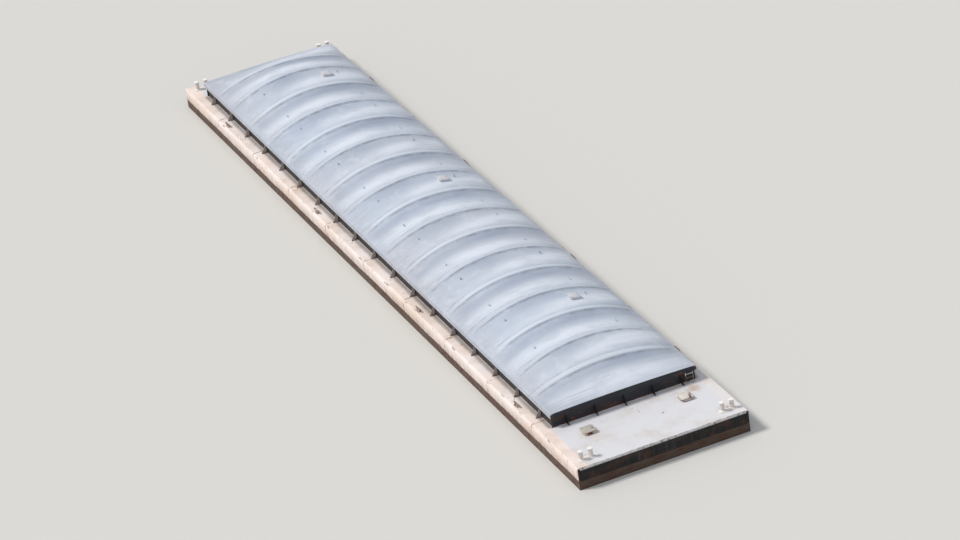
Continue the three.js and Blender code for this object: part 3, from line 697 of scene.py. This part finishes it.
# One cover: a closed outline across the barge carried along it. The outer face is at
# edge + rise(y) * crownShare(x) + ribs(y) * (1 - (x / half)^4) - a quarter circle at the sides,
# the inner face is a shell's thickness under the plain arch and never below the seat.
def coverShape(length, riseAt, flanges, hatchAt=None):
    form = cover
    half, seat, low = form["halfWidth"], form["seat"], form["rim"] - form["skirtDrop"]
    hemHalf, innerHalf = half + form["hem"], half - form["skirt"]
    railHalf = innerHalf - form["rail"]
    reach = hatchCut * math.cos(math.radians(hatchTilt))
    hole = (coverHatch["x"] - reach, coverHatch["x"] + reach) if hatchAt else None
    edges = half - form["edgeRound"] * (1 - np.sin(np.radians([0, 20, 40, 60, 78, 90])))
    outer = linesAcross(half - form["edgeRound"] * 1.2, form["outerLines"], hole)
    outer = np.unique(np.round(np.concatenate([-edges, outer, edges]), 6))[::-1]
    inner = linesAcross(railHalf, form["innerLines"], hole)
    hem = [low, low + 0.12, low + 0.16]
    x, base, share, fade, least = np.vstack([
        stretch([hemHalf, hemHalf, half], hem),
        stretch(outer, form["edge"] - roundOff(half - np.abs(outer), form["edgeRound"]),
                crownShare(outer), 1 - (outer / half) ** 4),
        stretch([-half, -hemHalf, -hemHalf], hem[::-1]),
        stretch([-innerHalf, -innerHalf, -railHalf], [low, seat, seat]),
        stretch(inner, form["edge"] - form["shell"], crownShare(inner), 0, seat + 0.1),
        stretch([railHalf, innerHalf, innerHalf], [seat, seat, low])]).T

    # places along the cover, closer together where a rib or flange rises
    middle, rib = length / 2, form["ribWidth"] / 2
    ramp = np.linspace(0, 1, 7)
    slope, flange, flangeSlope = form["ribSlope"], form["flangeWidth"], form["flangeSlope"]
    aroundRib = np.concatenate([rib + ramp * slope, [0, rib * 0.5]])
    lip = form["flangeRound"] * (1 - np.cos(np.radians([0, 30, 60, 90])))
    aroundFlange = np.concatenate([lip, flange + ramp * flangeSlope])
    places = [np.linspace(0, length, 15), middle + aroundRib, middle - aroundRib]
    places = np.concatenate(places + [aroundFlange] * flanges[0] + [length - aroundFlange] * flanges[1])
    if hatchAt:
        places = withStretch(places, hatchAt - hatchCut, hatchAt + hatchCut, 4, 0.05)
    y = np.unique(np.round(places, 5))[:, None]

    fromMiddle = np.abs(y - middle)
    ribs = form["ribHeight"] * plateau(fromMiddle, rib, slope)
    roots = bump(fromMiddle - rib - slope, form["rootWidth"])
    for there, away in zip(flanges, (y, length - y)):
        if there:
            ribs = ribs + form["flangeHeight"] * plateau(away, flange, flangeSlope)
            ribs = ribs - roundOff(away, form["flangeRound"])
            roots = roots + bump(away - flange - flangeSlope, form["rootWidth"])

    # the panels between ribs hang by half a cosine, and an end cover's one by a squared sine
    hang = (1 - np.cos(2 * np.pi * fromMiddle / form["ribPitch"])) / 2
    if sum(flanges) < 2:
        inward = (length - y if flanges[1] else y) / length
        hang = np.sin(2 * np.pi * np.clip(inward, 0, 0.5)) ** 2
    swell = 0.5 + 0.25 * np.sin(0.9 * x + 1.1 * y) + 0.25 * np.sin(0.53 * y - 1.7 * x + 2)
    lift = ribs - form["sag"] * hang - form["waviness"] * swell
    height = np.maximum(base + riseAt(y) * share + lift * fade, least)
    points = beside(x, y, height)
    shape = gridShape(points)
    if hatchAt:
        row = np.flatnonzero(np.abs(y - hatchAt) < hatchCut + 1e-4)
        outerFirst = np.flatnonzero((x > hole[0] - 1e-4) & (x < hole[1] + 1e-4))
        shape = holed(shape, points.shape[:2], row, *np.split(outerFirst, 2))

    # painted shade on the stern side of each rib and painted highlight on its bow side, stronger at
    # mid-cover on the starboard half of the arch and at the joints on the port half
    starboard = 1 - plateau(x, -9, 14)
    paintedRibShade = (0.8 + 0.6 * bump((x - 4) / 2.5)) * bump(y - middle + 2.5 - 0.09 * x)
    paintedRibShade = paintedRibShade + (0.1 + 0.8 * bump((x + 3) / 2.2)) * bump(length - y - 1.6)
    paintedRibHighlight = (0.35 + 1.5 * starboard) * bump(y - middle - 3.4 - 0.17 * x)
    paintedRibHighlight = paintedRibHighlight + (0.9 + 1.0 * bump(x / 3)) * bump(y - 2.8)
    painted = np.clip(fade * 2.5, 0, 1)
    return shape, {"rib": ribs / form["ribHeight"] * fade, "root": roots * np.clip(fade * 3, 0, 1),
                   "paintedRibShade": paintedRibShade * painted, "paintedRibHighlight": paintedRibHighlight * painted}


# Cuts the hatch's square out of both faces of the shell and joins the two rims by a wall
def holed(shape, size, row, outerColumns, innerColumns):
    points, corners, sizes = shape
    rows, columns = size
    count = (rows - 1) * columns
    quads = corners[:count * 4].reshape(rows - 1, columns, 4)
    keep = np.ones((rows - 1, columns), bool)
    for across in (outerColumns, innerColumns):
        keep[row[0]:row[-1], across[0]:across[-1]] = False
    index = np.arange(rows * columns).reshape(rows, columns)

    def rimOf(across):
        block = index[np.ix_(row, across)]
        return np.concatenate([block[:-1, 0], block[-1, :-1], block[:0:-1, -1], block[0, :0:-1]])

    upper, lower = rimOf(outerColumns), rimOf(innerColumns[::-1])
    wall = np.stack([upper, np.roll(upper, -1), np.roll(lower, -1), lower], -1)
    if quads[0, 0, 0]:  # the skin was turned over
        wall = wall[:, ::-1]
    return (points, np.concatenate([quads[keep].ravel(), wall.ravel(), corners[count * 4:]]),
            np.concatenate([np.full(keep.sum() + len(wall), 4), sizes[count:]]))


# Bolt head: a flat six-sided cone standing out along +x
bolt = {"head": turned(latheShape([(1.0, 0), (1.0, 0.5), (0.7, 0.8)], 6), 90, "y"),
        "size": 0.075, "z": 15.72, "pitch": 1.55, "fromEnd": 0.8}


def boltsAlong(side, start, end):
    first, last = start + bolt["fromEnd"], end - bolt["fromEnd"]
    points, corners, sizes = bolt["head"]
    head = facedOut((points * bolt["size"] * [side, 1, 1], corners, sizes))
    y = np.linspace(first, last, int((last - first) / bolt["pitch"]))
    return copiesAt(head, beside(side * cover["halfWidth"], y, bolt["z"]))


lug = {
    "x": 8.5, "fromEnd": 3.6,
    "radius": 2.5 / 12, "below": 4.66 / 12, "thickness": 1.2 / 12, "hole": 1.1 / 12,
}


# A lifting plate with a round head and a hole: rings of points by angle, where the outer ring is the
# nearest of a circle and the plate's straight sides
def lugShape():
    radius, below, thickness, hole = [lug[key] for key in ("radius", "below", "thickness", "hole")]
    c, s = circle(1, 24).T
    straight = np.minimum(radius / np.maximum(np.abs(c), 1e-6), below / np.maximum(np.abs(s), 1e-6))
    reach = np.where(s >= 0, radius, straight)
    face, bevel = thickness / 2, thickness * 0.2
    rows = [(reach - bevel, face), (reach, face - bevel), (reach, bevel - face), (reach - bevel, -face),
            (hole, -face), (hole, face)]
    return gridShape(np.stack([beside(out, size * c, size * s) for size, out in rows]), closeRows=True)


# Both ends of a cover along the barge, half a gap from its neighbours
def coverSpan(number):
    count, end, half = cover["count"], cover["endLength"], cover["gap"] / 2
    first, last = barge["hopper"]
    joints = [first, *np.linspace(first + end, last - end, count - 1), last]
    return joints[number - 1] + half * (number > 1), joints[number] - half * (number < count)


def makeCover(number):
    form = cover
    start, end = coverSpan(number)
    length, half = end - start, form["halfWidth"]
    name, body = f"cover_{number}", f"cover_{number}_body"
    sternmost, foremost = number == 1, number == form["count"]

    # an end cover falls to a low straight edge as a quarter of a sine wave
    def riseAt(d):
        inward = d if sternmost else length - d if foremost else length + 0 * d
        return form["endRise"] + (form["rise"] - form["endRise"]) * np.sin(inward / length * np.pi / 2)

    hatchAt = length - coverHatch["fromBowEnd"] if number in coverHatch["covers"] else None
    shape, marks = coverShape(length, riseAt, (not sternmost, not foremost), hatchAt)
    marks["age"] = np.full(len(shape[0]), form["age"][number - 1])
    newPiece(name + "_shell", moved(shape, (0, start, 0)), "cover", body, [name],
             marks=marks, sharp=40)
    bolts = together([boltsAlong(side, start, end) for side in (-1, 1)])
    newPiece(name + "_bolts", bolts, "lug", body)
    if sternmost or foremost:
        # end wall: the low arch at the outer edge, carried through the wall's thickness
        x, low = np.linspace(-half, half, 41), form["rim"] - form["skirtDrop"]
        lip = form["edge"] + form["endRise"] * crownShare(x) - 0.05
        lip = lip - roundOff(half - np.abs(x), form["edgeRound"])
        outline = np.concatenate([beside(x, lip), [[half, low], [-half, low]]])
        wall = (start - 0.02, start + form["skirt"]) if sternmost else (end - form["skirt"], end + 0.02)
        newPiece(name + "_end_wall", gridShape(np.stack([np.insert(outline, 1, y, axis=1) for y in wall])),
                 "coaming", body, bevel=0.002)
        return
    places = [(side * lug["x"], y, archTop(lug["x"]) + lug["radius"])
              for side in (-1, 1) for y in (start + lug["fromEnd"], end - lug["fromEnd"])]
    newPiece(name + "_lugs", copiesAt(lugShape(), places), "lug", body)


for number in range(1, cover["count"] + 1):
    makeCover(number)
print("covers made:", cover["count"])


# A hatch's square ring with rounded corners: outer wall, lip, inner wall, and back under
def ringShape(form):
    half, top, lip, edge = form["half"], form["height"], form["lip"], form["edge"]
    inner, bottom = half - form["wall"], -form["sunk"]
    rows = [(half, bottom), (half, top - lip), (half + lip, top - lip * 0.8), (half + lip, top - edge),
            (half + lip - edge, top), (inner + edge, top), (inner, top - edge), (inner, bottom)]
    return stackShape([(h, h, 0.12 + max(h - half, 0), z) for h, z in rows], closeRows=True)


lidParts = {
    "strap": 0.11, "barrel": 0.24, "dog": (0.13, 0.03),  # half sizes
    "handle": (0.28, 0.13, 0.028),  # half length, height and the rod's radius
}


# Its pressed lid with a raised middle, hinge straps and barrels towards +x, and a bent handle at -x
def lidShape(form):
    half, thick, barrel = form["half"] + form["lidOverlap"], form["lidThickness"], form["barrel"]
    hingeX, lip = form["half"] + barrel + 0.05, thick * 0.35
    rows = [(half, 0), (half, thick - lip), (half - lip * 0.3, thick - lip * 0.3), (half - lip, thick),
            (half * 0.72, thick), (half * 0.68, thick + 0.03), (half * 0.3, thick + 0.045)]
    lid = stackShape([(h, h, max(0.14 * h / half, 0.05), z) for h, z in rows])
    low, strapEnd = thick * 0.8, half * 0.45
    strap = plateShape((hingeX - strapEnd) / 2, lidParts["strap"], 0.05, low, low + 0.05, 0.02)
    rounded = [(barrel * 0.8, lidParts["barrel"]), (barrel, lidParts["barrel"] - 0.03)]
    tube = turned(latheShape([(r, -z) for r, z in rounded] + rounded[::-1], 16), 90, "x")
    turn, (reach, rise, rod) = np.linspace(0, np.pi, 13), lidParts["handle"]
    bow = beside(-half * 0.5, -reach * np.cos(turn), thick + rise * np.sin(turn) ** 0.5)
    stud = [(0.075, -0.01), (0.075, 0.03), (0.04, 0.04), (0.035, 0.1), (0.02, 0.11)]
    dog = together([latheShape([(radius, thick + z) for radius, z in stud], 10),
                    plateShape(*lidParts["dog"], 0.025, thick + 0.04, thick + 0.075, 0.01)])
    pairs = [(strap, (hingeX + strapEnd) / 2, form["spread"], 0), (dog, -half * 0.84, half * 0.62, 0),
             (tube, hingeX, form["spread"], thick / 2)]
    pairs = [copiesAt(shape, [(x, -y, z), (x, y, z)]) for shape, x, y, z in pairs]
    whole = together([lid, carriedShape(circle(rod, 8), bow, upright=(1, 0, 0))] + pairs)
    return moved(whole, (0, 0, form["height"] + barge["standOff"]))


def makeCoverHatches():
    form = coverHatch
    shapes = [turned(shape, hatchTilt, "y") for shape in (ringShape(form), turned(lidShape(form), 180))]
    for number in form["covers"]:
        at = (form["x"], coverSpan(number)[1] - form["fromBowEnd"], archTop(form["x"]))
        ring, lid = [moved(shape, at) for shape in shapes]
        name, lidName = f"cover_{number}", f"cover_hatch_lid_{number}"
        newPiece(name + "_hatch_ring", ring, "coverLid", name + "_body")
        newPiece(name + "_hatch_lid", lid, "coverLid", lidName + "_body", [lidName])


makeCoverHatches()
print("cover hatches made:", len(coverHatch["covers"]))

# Deck fittings; deckTop is where they stand

deckTop = barge["deck"] + barge["standOff"]

deckHatch = {
    "half": 1.1, "wall": 1 / 12, "height": 7 / 12, "sunk": 0, "lip": 0.035, "edge": 0.012,
    "lidOverlap": 1.5 / 12, "lidThickness": 1.4 / 12, "barrel": 1.3 / 12, "spread": 0.66,
    "rusty": "stern_port",  # the place of the rusty lid
}


def makeDeckHatches():
    form = deckHatch
    ring, lid = ringShape(form), lidShape(form)
    for end, y in zip(("stern", "bow"), barge["hatchY"]):
        for name, side in sides.items():
            at, place = (side * barge["hatchX"], y, deckTop), f"{end}_{name}"
            newPiece(f"hatch_{place}_ring", moved(ring, at), "fitting",
                     replaces=[f"hatch_ring_{place}"], sharp=45)
            newPiece(f"hatch_{place}_lid", moved(turned(lid, 0 if side < 0 else 180), at),
                     "rustyLid" if place == form["rusty"] else "lid", f"hatch_lid_{place}_body",
                     [f"hatch_lid_{place}"], sharp=45)


timberhead = {
    "inset": 3.1, "endInset": 2.6, "radius": 5 / 12, "cap": 6.5 / 12, "capThickness": 1 / 12, "height": 1.9,
    "spread": 1.0, "base": (1.8, 0.75, 1 / 12),
}


# Post profile: a weld fillet at the foot, the straight post, and a cap with rounded edges and a low dome
def makeTimberheads():
    form = timberhead
    radius, cap, top = form["radius"], form["cap"], form["height"]
    halfX, halfY, plate = form["base"]
    under = top - form["capThickness"]
    profile = [(radius + 0.09, plate * 0.5), (radius + 0.08, plate + 0.02), (radius + 0.03, plate + 0.05),
               (radius, plate + 0.1), (radius, under - 0.05), (radius + 0.02, under - 0.01),
               (cap - 0.02, under), (cap, under + 0.02), (cap, top - 0.035), (cap - 0.015, top - 0.012),
               (cap - 0.05, top), (0.05, top)]
    posts = copiesAt(latheShape(profile, 36), [(-form["spread"], 0, 0), (form["spread"], 0, 0)])
    pair = together([plateShape(halfX, halfY, 0.18, 0, plate, 0.02), posts])
    x, y = barge["halfWidth"] - form["inset"], barge["halfLength"] - form["endInset"]
    for end, ahead in (("stern", -1), ("bow", 1)):
        for name, side in sides.items():
            at = (side * x, ahead * y, deckTop)
            node = f"timberhead_{end}_{name}"
            newPiece(node + "_posts", moved(pair, at), "post", replaces=[node])


kevel = {
    "x": 16.75, "places": [-72, -26, 26, 76],
    "half": 1.2, "radius": 2.2 / 12, "height": 9 / 12, "spread": 0.375, "leg": 3.4 / 24,
    "base": (0.25, 0.75, 0.8 / 12),
}


# Horn: a rod whose radius falls from the legs to the tips as 1 - 0.42 t^2, with rounded tips
def makeKevels():
    form = kevel
    t = np.linspace(0, 1, 9)
    body = form["radius"] * (1 - 0.42 * t ** 2)
    place = form["spread"] + t * (form["half"] - form["spread"] - 0.05)
    tip = [(body[-1] * 0.8, form["half"] - 0.015), (body[-1] * 0.4, form["half"])]
    halfRod = list(zip(body, place)) + tip
    rod = turned(latheShape([(r, -p) for r, p in halfRod[::-1]] + halfRod, 20), 90, "x")
    middle = form["height"] - form["radius"]
    halfX, halfY, thick = form["base"]
    rows = [(1.35, thick * 0.5), (1.3, thick + 0.02), (1.05, thick + 0.08), (1, thick + 0.16), (1, middle)]
    leg = stackShape([(form["leg"] * w, form["leg"] * w, 0.04, z) for w, z in rows])
    whole = together([plateShape(halfX, halfY, 0.1, 0, thick, 0.02), moved(rod, (0, 0, middle)),
                      copiesAt(leg, [(0, -form["spread"], 0), (0, form["spread"], 0)])])
    for name, side in sides.items():
        for number, y in enumerate(form["places"], 1):
            node, at = f"kevel_{name}_{number}", (side * form["x"], y, deckTop)
            newPiece(node + "_horn", moved(whole, at), "fitting", replaces=[node])


ladder = {
    "x": 13.3, "width": 1.5, "rail": (0.5 / 12, 1.1 / 12), "height": 2.3, "rungs": 3, "rung": 0.55 / 12,
    "bracket": (1.5, 1.625), "reach": 0.55 + 2.9 / 12 - 2 * barge["standOff"],
    "places": [("stern", 1, -84.35, 0), ("bow", -1, 93.75, 180)],  # side, y and degrees turned
}


def makeLadders():
    form = ladder
    half, top, reach = form["width"] / 2, form["height"], form["reach"]
    rail = stackShape([(form["rail"][0], form["rail"][1] * w, 0.03, z)
                       for w, z in ((1, 0), (1, top - 0.08), (0.8, top - 0.02), (0.5, top))])
    bracket = moved(plateShape(0.021, reach / 2, 0.015, *form["bracket"], 0.01), (0, reach / 2, 0))
    rung = carriedShape(circle(form["rung"], 12), [(-half, 0, 0), (0, 0, 0), (half, 0, 0)])
    rungs = copiesAt(rung, [(0, 0, top * (n + 0.6) / form["rungs"]) for n in range(form["rungs"])])
    whole = together([copiesAt(together([rail, bracket]), [(-half, 0, 0), (half, 0, 0)]), rungs])
    for name, side, y, turn in form["places"]:
        node, shape = f"ladder_{name}", moved(turned(whole, turn), (side * form["x"], y, deckTop))
        newPiece(node + "_steps", shape, "fitting", replaces=[node])


manhole = {
    "x": 16.35, "places": [-68.8, -39.4, -10.0, 9.6, 39.0, 68.4], "half": (0.56, 0.86), "thick": 0.05,
    "bolts": 16, "boltRing": 0.87,
}


# An oval plate: an ellipse drawn in to rounded upper edges, with nuts on a smaller ellipse
def makeManholes():
    form = manhole
    thick = form["thick"]
    oval = circle(1, 40) * form["half"]
    rows = [(1.12, 0), (1.1, 0.015), (1.0, 0.02), (1.0, thick - 0.012), (0.98, thick), (0.1, thick)]
    plate = layeredShape([(oval * share, z) for share, z in rows])
    nut = latheShape([(0.036, 0), (0.036, 0.045), (0.018, 0.05), (0.018, 0.07)], 6)
    around = circle(form["boltRing"], form["bolts"]) * form["half"]
    nuts = copiesAt(nut, np.insert(around, 2, thick, axis=1))
    places = [(side * form["x"], y, barge["deck"] + 0.002) for side in (-1, 1) for y in form["places"]]
    plates = copiesAt(together([plate, nuts]), places)
    newPiece("side_deck_manhole_plates", plates, "hull")


weld = {
    "radius": 0.045, "step": 0.8, "unevenness": 0.25, "sides": 7,
    # x, both ends and height of the long beads on each side, then reach and y of those across the deck
    "long": [(14.61, -83.3, 92.7, 13), (17.42, -99.4, 99.4, 12.53), (17.42, -99.4, 99.4, 11.17)],
    "cross": [(14.6, -83.6), (14.6, 93.0)],
}


# Weld beads: a circle carried along straight seams, its radius varied by two sine waves
def makeWelds():
    form = weld
    seams = [((side * x, first, z), (side * x, last, z))
             for x, first, last, z in form["long"] for side in (-1, 1)]
    seams += [((-reach, y, barge["deck"]), (reach, y, barge["deck"])) for reach, y in form["cross"]]
    beads = []
    for start, end in np.array(seams, float):
        count = int(np.linalg.norm(end - start) / form["step"])
        path = start + np.linspace(0, 1, count)[:, None] * (end - start)
        points, corners, sizes = carriedShape(circle(form["radius"], form["sides"]), path)
        middle = np.repeat(path, form["sides"], axis=0)
        far = middle[:, :2].sum(1, keepdims=True)
        lumps = 1 + form["unevenness"] * (np.sin(far * 3.1) + np.sin(far * 1.3)) / 2
        beads.append((middle + (points - middle) * lumps, corners, sizes))
    newPiece("deck_and_side_weld_beads", together(beads), "hull", sharp=80)


makeDeckHatches()
makeTimberheads()
makeKevels()
makeLadders()
makeManholes()
makeWelds()
print("deck fittings made")

# Finishes of the CAD nodes that stay, by the start of their names

nodeFinishes = {
    "end_tank": "hull", "wing_tank": "hull", "sheer_strake": "hull", "double_bottom": "hold",
    "headlog": "headlog", "coaming": "coaming",
}
for start, finish in nodeFinishes.items():
    for name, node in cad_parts.items():
        if name.startswith(start):
            node.material_slots[0].material = finishes[finish]
print("hull finishes given")

# Floor at the waterline, soft daylight from port and ahead, pale surroundings

studio = {
    "floor": (207, 205, 201), "floorHalf": 900.0,  # metres
    "opening": (17.3, 99.8),  # half sizes, inside the hull, so that the floor leaves the hopper free
    "sunColour": (1.0, 0.965, 0.92),
    "sun": 2.5, "sunFrom": (-0.62, 0.25, 0.84), "sunWidth": 14,
    "fill": 0.35, "fillFrom": (-0.5, -0.9, 0.7), "fillWidth": 60,
    "sky": (0.86, 0.92, 1.0, 1.0), "skyStrength": 0.52,
}


def addSun(name):
    lamp = bpy.data.lights.new(name, "SUN")
    lamp.energy, lamp.angle = studio[name], math.radians(studio[name + "Width"])
    lamp.color = studio["sunColour"]
    sun = placed(name, lamp)
    sun.rotation_mode = "QUATERNION"
    sun.rotation_quaternion = Vector(studio[name + "From"]).to_track_quat("Z", "Y")


def setStudio():
    half, level = studio["floorHalf"], barge["waterline"] * foot
    holeX, holeY = [size * foot for size in studio["opening"]]
    corners = [(x * halfX, y * halfY, level) for halfX, halfY in ((half, half), (holeX, holeY))
               for x, y in ((-1, -1), (1, -1), (1, 1), (-1, 1))]
    mesh = bpy.data.meshes.new("floor")
    mesh.from_pydata(corners, [], [(n, (n + 1) % 4, 4 + (n + 1) % 4, 4 + n) for n in range(4)])
    finish = newFinish("paleFloor", lambda *read: {"Base Color": "floor", "Roughness": 0.9}, studio)
    mesh.materials.append(finish)
    placed("floor", mesh)
    addSun("sun")
    addSun("fill")
    world = bpy.data.worlds.new("sky")
    world.use_nodes = True
    background = world.node_tree.nodes["Background"]
    background.inputs["Color"].default_value = studio["sky"]
    background.inputs["Strength"].default_value = studio["skyStrength"]
    bpy.context.scene.world = world
    bpy.context.scene.view_settings.view_transform = "Standard"


setStudio()
print("studio set")
